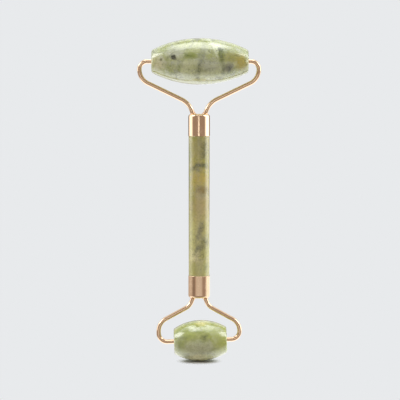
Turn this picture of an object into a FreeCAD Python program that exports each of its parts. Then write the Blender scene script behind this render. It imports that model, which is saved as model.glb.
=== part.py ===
"""Double-ended jade face roller, standing on its small roller.

A polished stone grip carries a drawn brass ferrule at each end. A bent wire fork is brazed through each
ferrule's crown, and a barrel-shaped stone roller spins on the two inward-pointing tips of each fork, in nylon
bushes. Millimetres. +Z runs up the grip towards the large roller, X runs along the rollers' axles, and the
origin is on the surface below the small roller, on the grip's axis.
"""
import FreeCAD, Part
import math
import os
from collections import namedtuple

V = FreeCAD.Vector

# ---- driving dimensions ------------------------------------------------------------------------------
grip_length = 62.7            # stone that shows between the two ferrules
grip_diameter = 9.4
grip_edge_radius = 0.15       # broken edge at each shoulder of the grip

ferrule_length = 10.0
ferrule_wall = 0.3
ferrule_proud = 0.15          # how far the ferrule stands out past the grip, all round
ferrule_edge_radius = 1.3     # outer rounding of the crown
ferrule_rim_radius = 0.12     # rounding of the open rim's outer edge

wire_diameter = 2.0
wire_tip_chamfer = 0.3
hole_edge_margin = 0.75       # from the wire to the ferrule's inner wall, at the crown
hole_clearance = 0.05         # radial, between the wire and its hole; the braze bridges it
lean_depth = 0.8              # how far below the crown's outer face the wires stop leaning
lean_radius = 2.5
anchor_straight = 0.3         # from there down to the hidden U-bend
anchor_cover = 0.7            # epoxy between the U-bend and the end of the stone

braze_height = 0.6            # how far the braze climbs the wire
braze_width = 0.4             # how far it spreads from the wire
braze_lip = 0.06              # thickness at its top edge
braze_hollow = 0.7            # 0.5 makes the braze a plain cone, more makes its face hollow

large_roller_length = 43.4
large_roller_diameter = 20.7
large_roller_end_diameter = 10.0
large_roller_rim_radius = 1.5
large_roller_shift = 0.4      # where the large roller sits in its end float
large_crown_gap = 13.15       # from the upper ferrule's crown to the roller's surface
large_side_gap = 5.05         # from the roller's end face to the wire's centreline beside it
large_knee_offset = 4.5       # first bend outside the ferrule: from the axis, and above the crown
large_knee_height = 4.87
large_knee_radius = 9.0
large_shoulder_drop = 7.93    # from the axle back to the outer bend
large_shoulder_radius = 6.9
large_eye_radius = 3.6        # bend that turns the wire inwards along the axle

small_roller_length = 23.7
small_roller_diameter = 18.3
small_roller_end_diameter = 11.2
small_roller_rim_radius = 0.8
small_roller_shift = 0.6      # where the small roller sits in its end float
small_axle_tilt = 2.2         # degrees: the hand-bent fork holds its +X end nearer to the grip
small_crown_gap = 10.15
small_side_gap = 6.35
small_knee_offset = 4.0
small_knee_height = 3.56
small_knee_radius = 5.5
small_shoulder_drop = 8.0
small_shoulder_radius = 6.2
small_eye_radius = 3.8

bush_length = 8.0
bush_wall = 0.63
bush_floor = 0.7              # closed inner end of the bush
bush_recess = 0.2             # how far the bush's mouth lies below the roller's end face
bush_mouth_chamfer = 0.2
running_clearance = 0.05      # radial, wire tip in bush
end_float = 0.8               # axial play of a roller each way from the middle
bore_mouth_chamfer = 0.3

bond_gap = 0.02               # adhesive film between a bush and its stone, and around the epoxy
spigot_film = 0.05            # radial adhesive film between the grip's spigot and the ferrule
spigot_chamfer = 0.3

# ---- sizes that follow -------------------------------------------------------------------------------
wire_radius = wire_diameter / 2
ferrule_radius = grip_diameter / 2 + ferrule_proud
ferrule_bore_radius = ferrule_radius - ferrule_wall
spigot_radius = ferrule_bore_radius - spigot_film
hole_offset = ferrule_bore_radius - hole_edge_margin - wire_radius
anchor_depth = lean_depth + anchor_straight + hole_offset    # crown's outer face to the foot of the U-bend
head_depth = anchor_depth + wire_radius + anchor_cover       # crown's outer face to the end of the stone
spigot_length = ferrule_length - head_depth

bush_bore_radius = wire_radius + running_clearance
bush_radius = bush_bore_radius + bush_wall
bush_bore_depth = bush_length - bush_floor
stone_bore_radius = bush_radius + bond_gap

Roller = namedtuple("Roller", "length diameter end_diameter rim_radius")
Fork = namedtuple("Fork", "knee_offset knee_height knee_radius shoulder_height shoulder_radius eye_radius "
                          "half_span axle_height axle_slope tip_offset")

large_roller = Roller(large_roller_length, large_roller_diameter, large_roller_end_diameter,
                      large_roller_rim_radius)
small_roller = Roller(small_roller_length, small_roller_diameter, small_roller_end_diameter,
                      small_roller_rim_radius)


def tip_offset(roller):
    """How far from the grip's axis a fork's tips end."""
    return roller.length / 2 - bush_recess - bush_bore_depth + end_float


def tilted_height(roller, tilt):
    """Height of a tilted roller's middle over the surface that its barrel stands on."""
    rise = (roller.diameter - roller.end_diameter) / 2
    barrel_radius = ((roller.length / 2) ** 2 + rise ** 2) / (2 * rise)
    return barrel_radius - (barrel_radius - roller.diameter / 2) * math.cos(math.radians(tilt))


# A fork is described with its crown at z = 0 and its axle above it, so the lower fork's slope is mirrored.
small_slope = math.tan(math.radians(small_axle_tilt))
large_axle_height = large_crown_gap + large_roller_diameter / 2
small_axle_height = small_crown_gap + small_roller_diameter / 2
large_fork = Fork(
    large_knee_offset, large_knee_height, large_knee_radius,
    large_axle_height - large_shoulder_drop, large_shoulder_radius, large_eye_radius,
    large_roller_length / 2 + large_side_gap, large_axle_height, 0.0, tip_offset(large_roller))
small_fork = Fork(
    small_knee_offset, small_knee_height, small_knee_radius,
    small_axle_height - small_shoulder_drop, small_shoulder_radius, small_eye_radius,
    small_roller_length / 2 + small_side_gap, small_axle_height, -small_slope, tip_offset(small_roller))

small_roller_z = tilted_height(small_roller, small_axle_tilt)
small_axle_z = small_roller_z - small_roller_shift * small_slope    # where the axle crosses the grip's axis
lower_crown_z = small_axle_z + small_axle_height
upper_crown_z = lower_crown_z + 2 * ferrule_length + grip_length
large_axle_z = upper_crown_z + large_axle_height


# ---- helpers -----------------------------------------------------------------------------------------
def rounded_path(corners, radii):
    """Straight runs through the corners, each inner corner rounded by a tangent arc of its radius.

    Where two arcs would meet on a run, both shrink to share it."""
    share = 0.98
    runs = [(b - a).Length for a, b in zip(corners, corners[1:])]
    halves = []
    reaches = [0.0]
    for before, corner, after, radius in zip(corners, corners[1:], corners[2:], radii):
        half = (before - corner).getAngle(after - corner) / 2
        halves.append(half)
        reaches.append(radius / math.tan(half))
    reaches.append(0.0)
    fits = [min(1.0, share * run / (a + b)) for run, a, b in zip(runs, reaches, reaches[1:])]
    edges = []
    start = corners[0]
    for i, half in enumerate(halves, 1):
        reach = reaches[i] * min(fits[i - 1], fits[i])
        back = (corners[i - 1] - corners[i]).normalize()
        ahead = (corners[i + 1] - corners[i]).normalize()
        inside = (back + ahead).normalize()
        radius = reach * math.tan(half)
        entry = corners[i] + back * reach
        middle = corners[i] + inside * (radius / math.sin(half) - radius)
        leave = corners[i] + ahead * reach
        edges.append(Part.LineSegment(start, entry).toShape())
        edges.append(Part.Arc(entry, middle, leave).toShape())
        start = leave
    edges.append(Part.LineSegment(start, corners[-1]).toShape())
    return Part.Wire(edges)


def round_bar(path, radius):
    """A round bar swept along a path."""
    first = path.Edges[0]
    start = first.valueAt(first.FirstParameter)
    section = Part.Wire([Part.makeCircle(radius, start, first.tangentAt(first.FirstParameter))])
    return path.makePipeShell([section], True, False)


def turned(outline, axis):
    """A solid of revolution about an axis through the origin."""
    return Part.Face(Part.Wire(outline)).revolve(V(0, 0, 0), axis, 360)


def segments(*points):
    """Straight edges through the points in turn."""
    return [Part.LineSegment(a, b).toShape() for a, b in zip(points, points[1:])]


def circles(solid, radius, *centres):
    """The solid's circular edges of that radius with one of those centres."""
    near = 1e-4

    def matches(edge):
        if not isinstance(edge.Curve, Part.Circle) or abs(edge.Curve.Radius - radius) > near:
            return False
        return any((edge.Curve.Center - centre).Length < near for centre in centres)

    return [edge for edge in solid.Edges if matches(edge)]


def save(node, solid):
    solid.exportStep("parts/" + node + ".step")


# ---- grip --------------------------------------------------------------------------------------------
def make_grip():
    """The stone rod: full diameter between the ferrules, and a ground-down spigot inside each."""
    low = V(0, 0, lower_crown_z + ferrule_length)
    high = low + V(0, 0, grip_length)
    rod = Part.makeCylinder(grip_diameter / 2, grip_length, low)
    rod = rod.makeFillet(grip_edge_radius, circles(rod, grip_diameter / 2, low, high))
    bottom = low - V(0, 0, spigot_length)
    top = high + V(0, 0, spigot_length)
    spigots = Part.makeCylinder(spigot_radius, (top - bottom).Length, bottom)
    spigots = spigots.makeChamfer(spigot_chamfer, circles(spigots, spigot_radius, bottom, top))
    return rod.fuse(spigots).removeSplitter()


# ---- one end of the grip, with the crown's outer face at z = 0 and the fork pointing to +Z -----------
def ferrule_outside():
    """The ferrule's outer form, as if it were solid."""
    rim = V(0, 0, -ferrule_length)
    cup = Part.makeCylinder(ferrule_radius, ferrule_length, rim)
    cup = cup.makeFillet(ferrule_edge_radius, circles(cup, ferrule_radius, V(0, 0, 0)))
    return cup.makeFillet(ferrule_rim_radius, circles(cup, ferrule_radius, rim))


def ferrule_inside(shrink=0.0):
    """The space inside the ferrule, from below its rim up to the inner face of the crown."""
    radius = ferrule_bore_radius - shrink
    ceiling = V(0, 0, -ferrule_wall - shrink)
    space = Part.makeCylinder(radius, 2 * ferrule_length, ceiling, V(0, 0, -1))
    return space.makeFillet(ferrule_edge_radius - ferrule_wall, circles(space, radius, ceiling))


def stem_direction(fork):
    """Direction in which the wire on the +X side leaves the crown."""
    return V(fork.knee_offset - hole_offset, 0, fork.knee_height).normalize()


def on_both_stems(make, fork):
    """Makes the same thing where the left stem and the right stem pass through the crown."""
    stem = stem_direction(fork)
    return [make(V(side * hole_offset, 0, 0), V(side * stem.x, 0, stem.z)) for side in (-1, 1)]


def make_ferrule(fork):
    """Drawn brass cup with a leaning wire hole on each side of its crown."""
    reach = 2 * ferrule_edge_radius    # past the rounded edge, above and below the crown

    def drill(at, along):
        return Part.makeCylinder(wire_radius + hole_clearance, 2 * reach, at - along * reach, along)

    return ferrule_outside().cut([ferrule_inside()] + on_both_stems(drill, fork))


def fork_corners(fork):
    """Corners of a fork's centreline: tip, eye, shoulder, knee, lean and U-bend on the left, then the right.

    The axle climbs from left to right by its slope; the knees and shoulders stay level."""
    stem = stem_direction(fork)
    leg_offset = hole_offset - lean_depth * stem.x / stem.z

    def side(sign):
        return [
            V(sign * fork.tip_offset, 0, fork.axle_height + fork.axle_slope * sign * fork.tip_offset),
            V(sign * fork.half_span, 0, fork.axle_height + fork.axle_slope * sign * fork.half_span),
            V(sign * fork.half_span, 0, fork.shoulder_height),
            V(sign * fork.knee_offset, 0, fork.knee_height),
            V(sign * leg_offset, 0, -lean_depth),
            V(sign * leg_offset, 0, -anchor_depth),
        ]

    return side(-1) + side(1)[::-1]


def bent_wire(fork, radius):
    """The fork's wire from tip to tip. Its U-bend asks for the holes' offset, so the legs share one bend."""
    bends = [fork.eye_radius, fork.shoulder_radius, fork.knee_radius, lean_radius, hole_offset]
    return round_bar(rounded_path(fork_corners(fork), bends + bends[::-1]), radius)


def make_fork(fork):
    """The bent wire with chamfered tips."""
    wire = bent_wire(fork, wire_radius)
    corners = fork_corners(fork)
    return wire.makeChamfer(wire_tip_chamfer, circles(wire, wire_radius, corners[0], corners[-1]))


def make_braze(fork):
    """A hollow-faced ring of braze round each wire, standing on the crown."""
    lip = wire_radius + braze_lip
    foot = wire_radius + braze_width
    sunk = -2 * ferrule_edge_radius    # deep enough to reach the crown all round the leaning wire
    hollow = V(foot - braze_hollow * (foot - lip), 0, braze_height - braze_hollow * braze_height)
    outline = segments(V(foot, 0, 0), V(foot, 0, sunk), V(wire_radius, 0, sunk),
                       V(wire_radius, 0, braze_height), V(lip, 0, braze_height))
    outline.append(Part.Arc(V(lip, 0, braze_height), hollow, V(foot, 0, 0)).toShape())
    ring = turned(outline, V(0, 0, 1))

    def place(at, along):
        placed = ring.copy()
        placed.Placement = FreeCAD.Placement(at, FreeCAD.Rotation(V(0, 0, 1), along))
        return placed.cut(ferrule_outside())

    return Part.makeCompound([solid for shape in on_both_stems(place, fork) for solid in shape.Solids])


def make_epoxy(fork):
    """Cured filling between the crown and the end of the stone, cast round the wire's U-bend."""
    length = head_depth - ferrule_wall - 2 * bond_gap
    slice_of_bore = Part.makeCylinder(ferrule_radius, length, V(0, 0, -head_depth + bond_gap))
    return ferrule_inside(bond_gap).common(slice_of_bore).cut(bent_wire(fork, wire_radius + bond_gap))


def place_upper(solid):
    solid.translate(V(0, 0, upper_crown_z))
    return solid


def place_lower(solid):
    solid.rotate(V(0, 0, 0), V(1, 0, 0), 180)
    solid.translate(V(0, 0, lower_crown_z))
    return solid


# ---- rollers, centred on the origin with the axle along X --------------------------------------------
def make_roller(roller):
    """Barrel of stone, drilled right through, with rounded rims."""
    half = roller.length / 2
    end = roller.end_diameter / 2
    outline = [Part.Arc(V(-half, 0, end), V(0, 0, roller.diameter / 2), V(half, 0, end)).toShape()]
    outline += segments(V(half, 0, end), V(half, 0, stone_bore_radius), V(-half, 0, stone_bore_radius),
                        V(-half, 0, end))
    stone = turned(outline, V(1, 0, 0))
    ends = (V(-half, 0, 0), V(half, 0, 0))
    stone = stone.makeFillet(roller.rim_radius, circles(stone, end, *ends))
    return stone.makeChamfer(bore_mouth_chamfer, circles(stone, stone_bore_radius, *ends))


def make_bush(roller):
    """Nylon cup pressed into the +X end of a roller."""
    mouth = V(roller.length / 2 - bush_recess, 0, 0)
    inwards = V(-1, 0, 0)
    cup = Part.makeCylinder(bush_radius, bush_length, mouth, inwards)
    cup = cup.cut(Part.makeCylinder(bush_bore_radius, bush_bore_depth, mouth, inwards))
    return cup.makeChamfer(bush_mouth_chamfer, circles(cup, bush_bore_radius, mouth))


def turned_round(solid):
    """The same thing at the roller's other end."""
    solid.rotate(V(0, 0, 0), V(0, 0, 1), 180)
    return solid


def place_on_axle(solid, middle, tilt):
    solid.rotate(V(0, 0, 0), V(0, 1, 0), -tilt)
    solid.translate(middle)
    return solid


# ---- assembly ----------------------------------------------------------------------------------------
os.makedirs("parts", exist_ok=True)

save("grip", make_grip())

for end, size, fork, place in (("upper", "large", large_fork, place_upper),
                               ("lower", "small", small_fork, place_lower)):
    save(end + "_ferrule", place(make_ferrule(fork)))
    save(size + "_fork", place(make_fork(fork)))
    save(end + "_braze", place(make_braze(fork)))
    save(end + "_epoxy", place(make_epoxy(fork)))

large_middle = V(large_roller_shift, 0, large_axle_z)
small_middle = V(small_roller_shift, 0, small_roller_z)
for size, roller, middle, tilt in (("large", large_roller, large_middle, 0.0),
                                   ("small", small_roller, small_middle, small_axle_tilt)):
    save(size + "_roller", place_on_axle(make_roller(roller), middle, tilt))
    save(size + "_bush_right", place_on_axle(make_bush(roller), middle, tilt))
    save(size + "_bush_left", place_on_axle(turned_round(make_bush(roller)), middle, tilt))

print("crowns at z =", round(lower_crown_z, 3), "and", round(upper_crown_z, 3))
print("large roller's middle at x =", large_roller_shift, "and z =", round(large_axle_z, 3))
print("small roller's middle at x =", small_roller_shift, "and z =", round(small_roller_z, 3))
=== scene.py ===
import math

import bmesh
import bpy
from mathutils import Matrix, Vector


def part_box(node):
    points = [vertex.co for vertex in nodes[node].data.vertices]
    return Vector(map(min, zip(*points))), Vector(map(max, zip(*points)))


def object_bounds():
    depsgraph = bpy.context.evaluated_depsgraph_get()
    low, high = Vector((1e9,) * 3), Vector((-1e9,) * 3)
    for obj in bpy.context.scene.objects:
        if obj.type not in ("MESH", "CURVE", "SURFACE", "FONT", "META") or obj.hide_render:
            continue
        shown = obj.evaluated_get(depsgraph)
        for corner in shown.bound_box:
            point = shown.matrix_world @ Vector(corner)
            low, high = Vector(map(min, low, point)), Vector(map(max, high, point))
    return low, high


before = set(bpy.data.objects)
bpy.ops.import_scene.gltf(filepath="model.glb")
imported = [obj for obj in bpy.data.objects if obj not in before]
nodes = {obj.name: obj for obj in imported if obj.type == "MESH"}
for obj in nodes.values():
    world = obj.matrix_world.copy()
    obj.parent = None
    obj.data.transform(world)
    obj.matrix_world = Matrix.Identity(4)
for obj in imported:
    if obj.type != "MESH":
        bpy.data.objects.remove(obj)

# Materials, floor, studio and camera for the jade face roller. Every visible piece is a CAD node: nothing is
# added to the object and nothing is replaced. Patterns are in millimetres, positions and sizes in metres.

MM = 0.001
cad_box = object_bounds()
scene = bpy.context.scene

STREAK_DEPTH = 4.0     # half depth of a streak, in mm


def linear(red, green, blue):
    """A screen colour, 0 to 255 each, as the linear colour that shaders use."""
    def one(v):
        v /= 255.0
        return v / 12.92 if v <= 0.04045 else ((v + 0.055) / 1.055) ** 2.4
    return (one(red), one(green), one(blue), 1.0)


class Tree:
    """Short ways to add nodes to a node tree and link them."""

    def __init__(self, tree):
        self.tree = tree
        tree.nodes.clear()

    def add(self, kind, **settings):
        node = self.tree.nodes.new(kind)
        for name, value in settings.items():
            setattr(node, name, value)
        return node

    def put(self, value, socket):
        if isinstance(value, bpy.types.NodeSocket):
            self.tree.links.new(value, socket)
        else:
            socket.default_value = value

    def math(self, operation, a, b=0.0):
        node = self.add("ShaderNodeMath", operation=operation)
        self.put(a, node.inputs[0])
        self.put(b, node.inputs[1])
        return node.outputs[0]

    def times(self, a, b):
        return self.math("MULTIPLY", a, b)

    def plus(self, a, b):
        return self.math("ADD", a, b)

    def rest(self, a):
        """1 - a."""
        return self.math("SUBTRACT", 1.0, a)

    def vector(self, operation, a, b=(0.0, 0.0, 0.0)):
        node = self.add("ShaderNodeVectorMath", operation=operation)
        self.put(a, node.inputs[0])
        self.put(b, node.inputs[1])
        return node.outputs["Value" if operation in ("LENGTH", "DOT_PRODUCT") else "Vector"]

    def ramp(self, value, low, high, out_low=0.0, out_high=1.0):
        """Smooth step of value from low to high."""
        node = self.add("ShaderNodeMapRange", interpolation_type="SMOOTHSTEP")
        self.put(value, node.inputs["Value"])
        for name, number in (("From Min", low), ("From Max", high),
                             ("To Min", out_low), ("To Max", out_high)):
            node.inputs[name].default_value = number
        return node.outputs["Result"]

    def mix(self, factor, a, b, blend="MIX"):
        node = self.add("ShaderNodeMix", data_type="RGBA", blend_type=blend)
        self.put(factor, node.inputs["Factor"])
        self.put(a, node.inputs[6])
        self.put(b, node.inputs[7])
        return node.outputs[2]

    def noise(self, where, per_mm, detail=3.0, rough=0.5, twist=0.0, seed=0.0):
        """Noise with features about 1 / per_mm millimetres across. where is in millimetres."""
        node = self.add("ShaderNodeTexNoise", noise_dimensions="4D")
        self.put(where, node.inputs["Vector"])
        node.inputs["Scale"].default_value = per_mm
        node.inputs["Detail"].default_value = detail
        node.inputs["Roughness"].default_value = rough
        node.inputs["Distortion"].default_value = twist
        node.inputs["W"].default_value = seed
        return node

    def millimetres(self):
        """The point on the object in its own coordinates, in millimetres."""
        return self.scaled(self.add("ShaderNodeTexCoord").outputs["Object"], 1 / MM)

    def scaled(self, vector, factor):
        node = self.add("ShaderNodeVectorMath", operation="SCALE")
        self.put(vector, node.inputs[0])
        node.inputs["Scale"].default_value = factor
        return node.outputs["Vector"]

    def wobbled(self, where, per_mm, amount, seed):
        """where pushed about by noise, by up to amount millimetres."""
        colour = self.noise(where, per_mm, seed=seed).outputs["Color"]
        centred = self.vector("SUBTRACT", colour, (0.5, 0.5, 0.5))
        return self.vector("ADD", where, self.scaled(centred, 2.0 * amount))

    def blob(self, where, centre, half, soft=0.5):
        """1 inside an ellipsoid of half sizes half about centre, fading to 0 outside it."""
        away = self.vector("SUBTRACT", where, centre)
        shape = self.vector("MULTIPLY", away, tuple(1.0 / h for h in half))
        return self.ramp(self.vector("LENGTH", shape), 1.0 - soft, 1.0 + soft, 1.0, 0.0)

    def streak(self, where, centre, angle, long, wide):
        """1 in a streak that leans at angle in the plane of X and Z, fading outwards."""
        away = self.vector("SUBTRACT", where, centre)
        cos, sin = math.cos(angle), math.sin(angle)
        parts = self.add("ShaderNodeCombineXYZ")
        for i, row in enumerate(((cos / long, 0.0, sin / long), (0.0, 1 / STREAK_DEPTH, 0.0),
                                 (-sin / wide, 0.0, cos / wide))):
            self.put(self.vector("DOT_PRODUCT", away, row), parts.inputs[i])
        return self.ramp(self.vector("LENGTH", parts.outputs[0]), 0.2, 1.6, 1.0, 0.0)

    def band(self, value, low, high, soft):
        """1 where value is between low and high, with soft edges."""
        return self.times(self.ramp(value, low - soft, low + soft),
                          self.ramp(value, high - soft, high + soft, 1.0, 0.0))

    def shader_mix(self, factor, a, b):
        """Shader node a where factor is 0, and b where it is 1."""
        node = self.add("ShaderNodeMixShader")
        self.put(factor, node.inputs[0])
        self.put(a.outputs[0], node.inputs[1])
        self.put(b.outputs[0], node.inputs[2])
        return node

    def principled(self, **settings):
        """A Principled shader. A setting is named after its socket, with _ for each space."""
        shader = self.add("ShaderNodeBsdfPrincipled")
        for name, value in settings.items():
            self.put(value, shader.inputs[name.replace("_", " ")])
        return shader

    def bump(self, height, distance, strength=1.0):
        node = self.add("ShaderNodeBump")
        node.inputs["Distance"].default_value = distance
        node.inputs["Strength"].default_value = strength
        self.put(height, node.inputs["Height"])
        return node.outputs["Normal"]

    def finish(self, shader, output="ShaderNodeOutputMaterial"):
        out = self.add(output)
        self.tree.links.new(shader.outputs[0], out.inputs["Surface"])


def new_material(name):
    """An empty material and its Tree."""
    material = bpy.data.materials.new(name)
    material.use_nodes = True
    return material, Tree(material.node_tree)


def dress(material, *names):
    """Gives CAD nodes a material."""
    for name in names:
        mesh = nodes[name].data
        mesh.materials.clear()
        mesh.materials.append(material)


# ---------------------------------------------------------------- stone

MOSS = linear(104, 116, 66)
VEIN = linear(70, 76, 58)
DARK = linear(60, 68, 50)
PALE = linear(196, 202, 170)
CREAM = linear(188, 194, 150)
YELLOW = linear(160, 148, 68)

WEB_PER_MM = 0.55                   # cells of the web per millimetre
WEB_LINE = 0.16                     # width of the web's lines, against its cells
WEB_FILL = 0.5                      # how strong a streak is inside the cells, against 1 on the lines
STREAK_SPREAD = 1.5                 # drawn width of a streak against the stated one, as the web thins it
STONE_HUE = (1.02, 1.055, 1.12)     # brightness of each channel, against the studio's warm darks
GRAIN_DEPTH = 0.13                  # how much the grain lightens and darkens the stone
GLOSS_RANGE = 0.08                  # roughness between the glossiest and the dullest place
STONE_RIPPLE = 0.00004              # depth of the unevenness of the polish, in metres


def stone(name, palette, patches, streaks, seed, centre, front, gloss, lift, mossy, veiny, mottle):
    """Polished jade in its own millimetres: drifting clouds of colour, the patches and streaks given, and
    procedural veins, moss, specks and grain everywhere.

    palette: ground, olive, cloud and pale colours.
    patches: (x, y, z from centre, half sizes, softness, colour, amount). Some of them are painted light,
    shade or reflections, marked where they are listed.
    streaks: (x, z from centre, angle in degrees, half length, half width, colour, amount), on the side at
    y = front.
    seed: sets all of its noise. centre: the stone's middle.
    gloss: the lowest roughness. lift: brightness of the whole stone.
    mossy, veiny and mottle: how much moss and specks, long veins and small clouds it has, 0 to 1.
    """
    material, t = new_material(name)
    ground, olive, cloud, pale = palette
    where = t.vector("SUBTRACT", t.millimetres(), centre)
    drift = t.wobbled(t.wobbled(where, 0.16, 2.6, seed), 0.7, 0.5, seed + 0.5)

    def noise(per_mm, detail, rough, twist, offset):
        return t.noise(where, per_mm, detail, rough, twist, seed + offset).outputs["Fac"]

    # clouds: features per mm, where the noise starts and ends its fade, amount, colour, offset of the seed
    colour = ground
    for per_mm, low, high, amount, tint, offset in (
            (0.13, 0.42, 0.60, 1.0, olive, 1), (0.17, 0.50, 0.66, 0.8, cloud, 2),
            (0.11, 0.54, 0.68, 0.8, pale, 3), (0.42, 0.50, 0.64, mottle, olive, 19),
            (0.36, 0.52, 0.66, mottle, cloud, 20)):
        fac = t.noise(drift, per_mm, 5.0, 0.60, 0.7, seed + offset).outputs["Fac"]
        colour = t.mix(t.ramp(fac, low, high, 0.0, amount), colour, tint)
    # patches, with ragged edges and broken up by the grain
    ragged = t.wobbled(t.wobbled(where, 0.38, 1.3, seed + 4), 1.3, 0.45, seed + 5)
    grain = noise(1.1, 5.0, 0.65, 0.6, 6)
    broken = t.ramp(grain, 0.30, 0.58, 0.55, 1.0)
    # patches, with ragged edges and broken up by the grain; some are painted light, shade or reflections
    for x, y, z, half, soft, tint, amount in patches:
        mask = t.times(t.blob(ragged, (x, y, z), half, soft), broken)
        colour = t.mix(t.times(mask, amount), colour, tint)
    # streaks, which break up into a fine web of lines round small cells
    crooked = t.wobbled(t.wobbled(where, 0.30, 1.5, seed + 15), 1.1, 0.7, seed + 16)
    cells = t.add("ShaderNodeTexVoronoi", feature="DISTANCE_TO_EDGE")
    t.put(crooked, cells.inputs["Vector"])
    cells.inputs["Scale"].default_value = WEB_PER_MM
    web = t.times(t.ramp(cells.outputs["Distance"], 0.0, WEB_LINE, 1.0, WEB_FILL), broken)
    for x, z, angle, long, wide, tint, amount in streaks:
        mask = t.streak(crooked, (x, front, z), math.radians(angle), long, STREAK_SPREAD * wide)
        colour = t.mix(t.times(t.times(mask, web), amount), colour, tint)
    # dark veins run where a stretched noise crosses its middle, and come and go
    for per_mm, width, amount, offset in ((0.085, 0.018, 0.5, 7), (0.17, 0.024, 0.35, 9)):
        bent = t.wobbled(where, 0.35, 1.6, seed + offset)
        fac = t.noise(bent, per_mm, 5.0, 0.62, 1.2, seed + offset).outputs["Fac"]
        line = t.ramp(t.math("ABSOLUTE", t.math("SUBTRACT", fac, 0.5)), 0.0, width, 1.0, 0.0)
        some = t.ramp(noise(0.12, 3.0, 0.6, 0.0, offset + 1), 0.48, 0.60)
        colour = t.mix(t.times(t.times(line, some), amount * veiny), colour, VEIN)
    moss = t.times(t.ramp(noise(0.55, 6.0, 0.7, 1.2, 17), 0.52, 0.68),
                   t.ramp(noise(0.10, 2.0, 0.5, 0.0, 18), 0.42, 0.60))
    colour = t.mix(t.times(moss, mossy), colour, MOSS)
    specks = t.ramp(noise(0.9, 3.0, 0.6, 0.4, 11), 0.66, 0.74, 0.0, mossy)
    colour = t.mix(specks, colour, VEIN)
    # the grain lightens and darkens everything
    shade = t.add("ShaderNodeCombineColor")
    for i, share in enumerate(STONE_HUE):
        dark = (1 - GRAIN_DEPTH) * lift * share
        light = (1 + GRAIN_DEPTH) * lift * share
        t.put(t.ramp(grain, 0.25, 0.75, dark, light), shade.inputs[i])
    colour = t.mix(1.0, colour, shade.outputs[0], "MULTIPLY")
    # polish: uneven gloss, a faint ripple and fine pits
    smear = noise(0.35, 4.0, 0.6, 0.5, 12)
    pits = t.ramp(noise(3.5, 2.0, 0.5, 0.0, 14), 0.62, 0.8, 0.0, 0.35)
    height = t.math("SUBTRACT", noise(0.45, 3.0, 0.5, 0.0, 13), pits)
    rough = t.ramp(smear, 0.35, 0.7, gloss, gloss + GLOSS_RANGE)
    shader = t.principled(Base_Color=colour, Roughness=rough, IOR=1.6, Specular_IOR_Level=0.8,
                          Subsurface_Weight=0.4, Subsurface_Radius=(1.0, 1.0, 0.7),
                          Subsurface_Scale=0.0018, Coat_Weight=0.6, Coat_Roughness=gloss * 0.8,
                          Coat_IOR=1.55, Normal=t.bump(height, STONE_RIPPLE, 0.6))
    t.finish(shader)
    return material


large_low, large_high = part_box("large_roller")
small_low, small_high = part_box("small_roller")
grip_low, grip_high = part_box("grip")


def middle(low, high):
    """The middle of a box, in millimetres."""
    return tuple((low[i] + high[i]) / 2 / MM for i in range(3))


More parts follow.
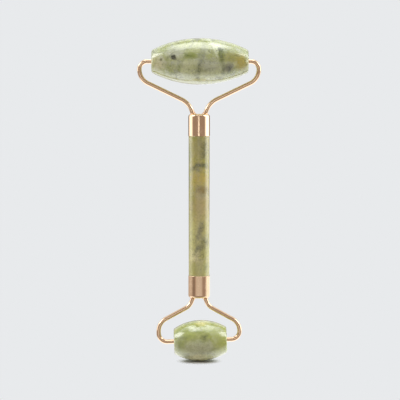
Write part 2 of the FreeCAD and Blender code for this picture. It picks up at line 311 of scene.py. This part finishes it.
roller_stone = stone(
    "jade_large_roller",
    (linear(170, 176, 130), linear(148, 156, 96), linear(168, 174, 152), PALE),
    [
        (-11.4, -8.0, 3.6, (4.6, 4.0, 2.6), 0.6, linear(178, 182, 160), 0.75),
        (-11.7, -9.0, 1.3, (1.3, 4.0, 1.1), 0.35, linear(34, 42, 30), 1.0),
        (-6.0, -9.0, -2.8, (4.6, 4.0, 3.0), 0.6, CREAM, 0.7),
        (-4.2, -9.0, 1.6, (3.4, 4.0, 1.7), 0.6, linear(124, 136, 62), 0.85),
        (-19.0, -6.0, -1.2, (3.0, 4.0, 3.4), 0.7, linear(194, 190, 150), 0.7),
        (-17.4, -6.0, 0.2, (0.7, 3.0, 0.6), 0.5, DARK, 0.8),
        (4.6, -9.0, -2.2, (4.4, 4.0, 2.6), 0.6, linear(174, 180, 154), 0.7),
        (9.0, -8.0, 4.9, (1.1, 3.0, 1.1), 0.5, DARK, 0.85),
        (9.6, -8.0, 2.0, (1.5, 3.0, 3.0), 0.6, linear(116, 130, 62), 0.85),
        (12.8, -8.0, -3.0, (2.1, 4.0, 2.2), 0.6, linear(130, 131, 112), 0.8),
        (15.0, -8.0, 1.4, (5.6, 4.0, 2.0), 0.6, linear(142, 140, 66), 0.85),
        (18.8, -7.0, -0.8, (2.8, 5.0, 3.4), 0.6, YELLOW, 0.9),
        # on the large roller's lower front: the three small DARK marks are painted reflections of the fork's
        # wires, and the long pale band is painted light from the floor below
        (-8.6, -7.0, -7.4, (1.4, 3.0, 0.6), 0.6, DARK, 0.7),
        (-0.6, -7.0, -7.6, (0.8, 3.0, 0.9), 0.6, DARK, 0.85),
        (0.0, -6.0, -7.6, (15.0, 4.0, 2.0), 0.6, linear(206, 212, 182), 0.5),
        (9.0, -7.0, -7.6, (1.6, 3.0, 0.6), 0.6, DARK, 0.6),
        (-1.4, -3.0, 9.8, (1.6, 3.0, 0.9), 0.6, DARK, 0.6),
        (6.0, -3.0, 9.6, (0.9, 3.0, 0.7), 0.6, DARK, 0.5),
    ],
    [
        (0.9, 2.4, 84, 4.6, 1.2, linear(124, 130, 114), 0.8),
        (-0.4, -3.2, 78, 4.0, 0.7, linear(84, 94, 66), 0.85),
        (3.4, -4.2, 12, 3.6, 0.5, linear(106, 112, 90), 0.55),
        (10.4, -4.4, 96, 3.4, 0.7, linear(88, 96, 72), 0.85),
        (13.4, -3.2, 74, 2.2, 0.6, linear(70, 76, 68), 0.95),
        (12.2, -3.6, 100, 1.6, 0.4, linear(92, 98, 86), 0.8),
        (-8.4, 4.4, 10, 3.8, 0.8, linear(126, 134, 112), 0.45),
        (-9.4, -3.0, 60, 4.0, 0.6, linear(106, 122, 62), 0.75),
        (-13.4, 2.0, 40, 2.4, 0.35, linear(96, 104, 76), 0.7),
        (9.2, 2.6, 100, 3.2, 0.6, linear(76, 90, 50), 0.95),
        (16.0, 2.2, -8, 4.0, 0.4, linear(112, 114, 62), 0.75),
        (-5.6, 2.4, -14, 2.4, 0.4, linear(96, 110, 56), 0.8),
    ],
    seed=2.0, centre=middle(large_low, large_high), front=-9.0, gloss=0.13, lift=1.42,
    mossy=0.5, veiny=1.0, mottle=0.4)
small_stone = stone(
    "jade_small_roller",
    (linear(160, 166, 104), linear(140, 150, 80), linear(164, 166, 138), PALE),
    [
        # partly the stone's own grey, partly a painted reflection of the floor: it fills the lower half of
        # the small roller up to a level edge at the horizon
        (-0.6, -6.0, -3.0, (8.4, 6.0, 4.0), 0.4, linear(172, 177, 142), 0.9),
        # pale cap on the small roller's top: partly the stone's pale yellow, partly a painted highlight
        (0.6, -3.0, 8.4, (2.6, 5.0, 1.2), 0.6, linear(206, 204, 150), 0.7),
        # pale patch on the small roller's underside: a beige patch of the stone, lightened further as
        # painted light from the floor below
        (-1.0, -4.0, -7.6, (6.4, 5.0, 2.4), 0.6, linear(224, 218, 170), 0.9),
        (8.8, -5.0, 0.4, (3.4, 5.0, 4.8), 0.6, linear(152, 158, 80), 0.8),
        (-8.8, -5.0, -0.6, (2.2, 5.0, 4.4), 0.6, linear(138, 148, 82), 0.75),
        (-6.4, -5.0, -6.4, (2.4, 4.0, 1.4), 0.6, linear(108, 118, 84), 0.6),
        (3.4, -5.0, -6.6, (2.4, 4.0, 0.9), 0.6, CREAM, 0.6),
        (-4.6, -6.0, 3.0, (3.2, 4.0, 1.8), 0.6, linear(150, 160, 82), 0.6),
        (5.6, -6.0, 3.6, (3.0, 4.0, 3.0), 0.6, linear(148, 156, 84), 0.8),
    ],
    [
        (1.6, 2.4, 68, 1.8, 0.8, linear(82, 92, 62), 0.9),
        (3.4, -0.6, 108, 2.6, 0.6, linear(132, 136, 106), 0.5),
        (-6.8, 2.4, 12, 2.6, 0.4, linear(112, 124, 76), 0.7),
        (6.0, -3.4, 22, 2.8, 0.4, linear(122, 132, 80), 0.7),
        (-9.4, -2.0, 84, 3.6, 0.5, linear(110, 120, 70), 0.7),
        (-2.0, 5.0, -12, 3.0, 0.4, linear(120, 132, 78), 0.6),
    ],
    seed=11.0, centre=middle(small_low, small_high), front=-7.5, gloss=0.12, lift=1.42,
    mossy=0.1, veiny=0.3, mottle=0.2)
grip_stone = stone(
    "jade_grip",
    (linear(172, 163, 98), linear(158, 154, 76), linear(172, 166, 124), linear(194, 186, 126)),
    [
        # painted light: lightens the lower half of the grip, standing in for light from the floor below
        (0.0, -2.0, -20.0, (6.0, 6.0, 16.0), 0.7, linear(184, 182, 120), 0.5),
        (0.4, -3.0, 26.0, (4.0, 4.0, 5.0), 0.7, linear(146, 142, 80), 0.7),
        (0.6, -3.0, 12.4, (3.6, 4.0, 3.2), 0.6, linear(176, 160, 76), 0.85),
        (1.4, -3.0, 7.2, (2.8, 4.0, 1.6), 0.7, linear(142, 124, 72), 0.7),
        (0.8, -3.0, 0.0, (4.0, 4.0, 5.4), 0.7, linear(168, 152, 104), 0.7),
        (0.8, -3.0, -10.0, (1.6, 3.0, 3.0), 0.8, linear(122, 120, 80), 0.5),
        (0.8, -3.0, -18.0, (2.0, 3.0, 3.0), 0.8, linear(124, 124, 84), 0.5),
        (-2.0, -3.0, -21.6, (2.0, 3.0, 3.0), 0.6, linear(206, 200, 152), 0.85),
        (-2.6, -3.0, -14.0, (2.2, 3.0, 7.0), 0.6, linear(182, 180, 114), 0.8),
        (0.0, -3.0, -28.0, (4.4, 4.0, 3.0), 0.6, linear(158, 160, 96), 0.6),
        # painted shade: these four darken the grip along its left and right edges, as seen from the front
        (-4.4, -1.0, 12.0, (0.7, 3.0, 3.4), 0.8, MOSS, 0.8),
        (-4.4, -1.0, 23.0, (0.8, 3.0, 5.0), 0.8, linear(122, 134, 96), 0.8),
        (-4.6, -0.6, -8.0, (0.6, 2.6, 26.0), 0.8, linear(126, 128, 84), 0.7),
        (4.6, -0.6, 0.0, (0.4, 2.2, 34.0), 0.8, linear(132, 124, 80), 0.7),
    ],
    [
        (1.4, 18.2, -12, 2.8, 0.9, linear(76, 82, 62), 0.95),
        (-2.0, 17.6, 24, 2.2, 0.7, linear(80, 86, 66), 0.95),
        (-0.6, 16.2, -30, 1.8, 0.6, linear(96, 100, 76), 0.7),
        (1.8, 26.0, 76, 3.6, 0.7, linear(88, 90, 58), 0.9),
        (0.2, 28.6, 110, 2.2, 0.7, linear(112, 112, 72), 0.6),
        (2.2, 22.6, 60, 1.6, 0.6, linear(88, 90, 60), 0.9),
        (1.6, 7.6, 6, 2.8, 1.0, linear(128, 112, 64), 0.7),
        (0.8, -9.6, 74, 2.8, 0.8, linear(92, 96, 66), 0.85),
        (-0.6, -13.6, 62, 3.6, 0.6, linear(104, 106, 76), 0.7),
        (2.4, -15.4, -52, 2.6, 0.6, linear(88, 94, 66), 0.85),
        (0.6, -18.6, 24, 2.4, 0.8, linear(88, 94, 66), 0.85),
        (-1.6, -20.4, 74, 2.2, 0.4, linear(98, 104, 74), 0.7),
        (3.0, -27.0, 80, 2.6, 0.4, linear(110, 114, 74), 0.6),
        (-2.6, 0.6, 82, 3.0, 0.35, linear(128, 122, 78), 0.6),
    ],
    seed=23.0, centre=middle(grip_low, grip_high), front=-4.2, gloss=0.18, lift=1.32,
    mossy=0.5, veiny=0.8, mottle=0.7)
dress(roller_stone, "large_roller")
dress(small_stone, "small_roller")
dress(grip_stone, "grip")


# ---------------------------------------------------------------- metal, adhesive and plastic

def plated(name, base, worn, rough_low, rough_high, seed, ripple_depth):
    """Rose-gold plate with hazy patches, where both its colour and its gloss change, and a faint ripple.

    ripple_depth: in metres.
    """
    material, t = new_material(name)
    where = t.millimetres()
    haze = t.noise(where, 0.4, 4.0, 0.6, 0.5, seed).outputs["Fac"]
    colour = t.mix(t.ramp(haze, 0.35, 0.7), base, worn)
    rough = t.ramp(haze, 0.3, 0.7, rough_low, rough_high)
    height = t.noise(where, 0.3, 2.0, 0.5, 0.0, seed + 2).outputs["Fac"]
    shader = t.principled(Base_Color=colour, Metallic=1.0, Roughness=rough,
                          Normal=t.bump(height, ripple_depth, 0.5))
    t.finish(shader)
    return material


rose_gold = plated("rose_gold_plate", (0.90, 0.67, 0.45, 1.0), (0.93, 0.71, 0.49, 1.0),
                   rough_low=0.08, rough_high=0.15, seed=31.0, ripple_depth=0.00003)
dress(rose_gold, "upper_ferrule", "lower_ferrule", "large_fork", "small_fork")
braze = plated("brazed_joint", (0.88, 0.58, 0.38, 1.0), (0.80, 0.50, 0.32, 1.0),
               rough_low=0.20, rough_high=0.34, seed=37.0, ripple_depth=0.00012)
dress(braze, "upper_braze", "lower_braze")

MOULD_RIPPLE = 0.00003       # depth of the unevenness of a cast skin, in metres


def plastic(name, base, shade_colour, rough_low, rough_high, seed, **settings):
    """Moulded or cast plastic with cloudy colour and a faintly uneven skin."""
    material, t = new_material(name)
    where = t.millimetres()
    cloud = t.noise(where, 0.5, 4.0, 0.6, 0.6, seed).outputs["Fac"]
    colour = t.mix(t.ramp(cloud, 0.35, 0.7), base, shade_colour)
    skin = t.noise(where, 3.0, 3.0, 0.6, 0.0, seed + 1).outputs["Fac"]
    shader = t.principled(Base_Color=colour, Roughness=t.ramp(skin, 0.3, 0.7, rough_low, rough_high),
                          Normal=t.bump(skin, MOULD_RIPPLE, 0.5), **settings)
    t.finish(shader)
    return material


epoxy = plastic("cured_epoxy", linear(205, 190, 150), linear(186, 166, 120),
                rough_low=0.18, rough_high=0.32, seed=41.0)
dress(epoxy, "upper_epoxy", "lower_epoxy")
nylon = plastic("nylon_bush", linear(232, 230, 220), linear(214, 211, 198),
                rough_low=0.42, rough_high=0.58, seed=43.0, Subsurface_Weight=0.2, Subsurface_Scale=0.0008)
dress(nylon, "large_bush_left", "large_bush_right", "small_bush_left", "small_bush_right")


# ---------------------------------------------------------------- floor

FLOOR_RADIUS = 0.12                   # metres
FLOOR_DROP = 0.0002                   # metres that it lies below the object
FLOOR_TONE = 0.52                     # how much light it returns
FLOOR_HUE = (0.981, 1.0, 1.019)       # faintly blue
FLOOR_GRAIN = 0.005                   # how much its grain lightens and darkens it
SHADOW_FULL = 5.5                     # mm from the middle, inside which the floor is whole
SHADOW_END = 11.0                     # mm from the middle, where it has faded into the background
SHADOW_SHAPE = (1.0, 0.8, 1.0)        # the fade reaches further to the front and the back

floor_mesh = bpy.data.meshes.new("floor")
shape = bmesh.new()
bmesh.ops.create_circle(shape, cap_ends=True, segments=96, radius=FLOOR_RADIUS)
shape.to_mesh(floor_mesh)
shape.free()
floor = bpy.data.objects.new("floor", floor_mesh)
scene.collection.objects.link(floor)
floor.location = (0.0, 0.0, cad_box[0][2] - FLOOR_DROP)

floor_material, t = new_material("pale_floor")
spot = t.millimetres()
dark, light = ((*[FLOOR_TONE * hue * grain for hue in FLOOR_HUE], 1.0)
               for grain in (1.0 - FLOOR_GRAIN, 1.0 + FLOOR_GRAIN))
surface = t.add("ShaderNodeBsdfDiffuse")
t.put(t.mix(t.noise(spot, 0.5, 4.0, 0.6, 0.0, 51.0).outputs["Fac"], dark, light), surface.inputs["Color"])
away = t.vector("LENGTH", t.vector("MULTIPLY", spot, SHADOW_SHAPE))
t.finish(t.shader_mix(t.ramp(away, SHADOW_FULL, SHADOW_END), surface, t.add("ShaderNodeBsdfTransparent")))
floor_mesh.materials.append(floor_material)


# ---------------------------------------------------------------- studio

# levels of light
ROOM = 0.34              # the dark room in front
WALL_LEFT = 1.7
WALL_RIGHT = 1.95        # on top of the room
BEHIND_CUT = 0.86        # how much of the walls is lost straight behind
BEHIND_GLOW = 0.75
APRON = 0.3
WINDOW = 1.5
LAMP = 1.6
WING_LEFT, WING_RIGHT = 3.8, 3.0
ROOF = 2.45
SPILL = 0.5

WHITE = (1.0, 1.0, 1.0, 1.0)
WARM = (1.05, 0.84, 0.74, 1.0)
BACKDROP = linear(232, 234, 236)

world = bpy.data.worlds.new("studio")
scene.world = world
world.use_nodes = True
t = Tree(world.node_tree)
direction = t.add("ShaderNodeTexCoord").outputs["Generated"]
split = t.add("ShaderNodeSeparateXYZ")
t.put(direction, split.inputs[0])
x, y, z = split.outputs
turn = t.math("ARCTAN2", x, t.times(y, -1.0))     # 0 towards the front, positive to the right, radians
side = t.math("ABSOLUTE", turn)
rise = t.math("ARCSINE", z)


def ramped(angle, low, high, out_low=0.0, out_high=1.0):
    """Smooth step of an angle from low to high degrees."""
    return t.ramp(angle, math.radians(low), math.radians(high), out_low, out_high)


def banded(angle, low, high, soft):
    """1 where an angle is between low and high degrees."""
    return t.band(angle, math.radians(low), math.radians(high), math.radians(soft))


def add_light(total, mask, amount):
    return t.plus(total, t.times(mask, amount))


# walls: dark room in front, a bright sweep on each side, the right one brighter, dimmer straight behind,
# where a soft glow hangs above
left = ramped(turn, -94, -64, WALL_LEFT, ROOM)
right = ramped(turn, 58, 90, 0.0, WALL_RIGHT)
level = t.times(t.plus(left, right), ramped(rise, 20, 44, 1.0, 0.3))
behind = ramped(side, 118, 136)
level = t.times(level, t.rest(t.times(behind, BEHIND_CUT)))
level = add_light(level, t.times(behind, banded(rise, 18, 54, 8)), BEHIND_GLOW)

# the floor, below the horizon: pale in front, darker at each side, then pale far left and bright far right,
# with a dim apron low in front
ground = ramped(turn, -54, -24, 0.24, 0.66)
ground = t.times(ground, ramped(turn, 20, 46, 1.0, 0.52))
ground = t.plus(ground, ramped(turn, -100, -56, 0.34, 0.0))
ground = t.plus(ground, ramped(turn, 62, 104, 0.0, 0.85))
apron = t.times(ramped(side, 70, 95, 1.0, 0.0), ramped(rise, -22, -14, 1.0, 0.0))
ground = add_light(t.times(ground, t.rest(apron)), apron, APRON)
below = ramped(rise, -4, -2, 1.0, 0.0)
level = add_light(t.times(level, t.rest(below)), ground, below)

# steeper down, the lit floor round the object, brightest behind it
lit = t.times(ramped(rise, -36, -12, 1.0, 0.0), t.ramp(y, -0.55, 0.2, 0.32, 1.6))
level = t.math("MAXIMUM", level, lit)

# a small window in front with a lamp above it, and a softbox on each side
level = add_light(level, t.times(banded(turn, -11, 4, 2.5), banded(rise, -0.9, 0.8, 0.4)), WINDOW)
level = add_light(level, t.times(banded(turn, -14, 0, 2), banded(rise, 7, 11, 1)), LAMP)
wings = t.times(banded(side, 60, 90, 4), banded(rise, 24, 48, 3))
level = add_light(level, wings, t.ramp(turn, -1.0, 1.0, WING_LEFT, WING_RIGHT))

# a softbox overhead, with a soft spill towards the front
above = t.math("MAXIMUM", z, 0.001)
across = t.math("DIVIDE", x, above)
along = t.math("DIVIDE", y, above)
open_sky = t.ramp(z, 0.3, 0.4)
ends = t.times(t.ramp(across, -0.50, -0.28), t.ramp(across, 0.26, 0.54, 1.0, 0.0))
edges = t.times(t.ramp(along, -0.60, -0.28), t.ramp(along, 0.2, 0.5, 1.0, 0.0))
level = add_light(level, t.times(t.times(edges, ends), open_sky), ROOF)
spill = t.times(t.ramp(along, -1.9, -0.3), t.ramp(along, 0.0, 0.6, 1.0, 0.0))
level = add_light(level, t.times(spill, open_sky), SPILL)

# the darks are warm, and the camera sees a plain backdrop instead of the room
studio = t.add("ShaderNodeBackground")
t.put(t.mix(t.ramp(level, 0.3, 0.9), WARM, WHITE), studio.inputs["Color"])
t.put(level, studio.inputs["Strength"])
plain = t.add("ShaderNodeBackground")
t.put(BACKDROP, plain.inputs["Color"])
seen = t.add("ShaderNodeLightPath").outputs["Is Camera Ray"]
t.finish(t.shader_mix(seen, studio, plain), "ShaderNodeOutputWorld")


# ---------------------------------------------------------------- camera

SENSOR_MM = 36.0
LENS_MM = 160.4
CAMERA_PLACE = (0.0004, -0.80, 0.105)
CAMERA_AIM = (0.0004, 0.0, 0.0725)

camera_data = bpy.data.cameras.new("camera")
camera_data.sensor_width = SENSOR_MM
camera_data.lens = LENS_MM
camera_data.clip_start = 0.01
camera = bpy.data.objects.new("camera", camera_data)
scene.collection.objects.link(camera)
camera.location = CAMERA_PLACE
camera.rotation_euler = (Vector(CAMERA_AIM) - camera.location).to_track_quat("-Z", "Y").to_euler()
scene.camera = camera
scene.view_settings.view_transform = "Standard"
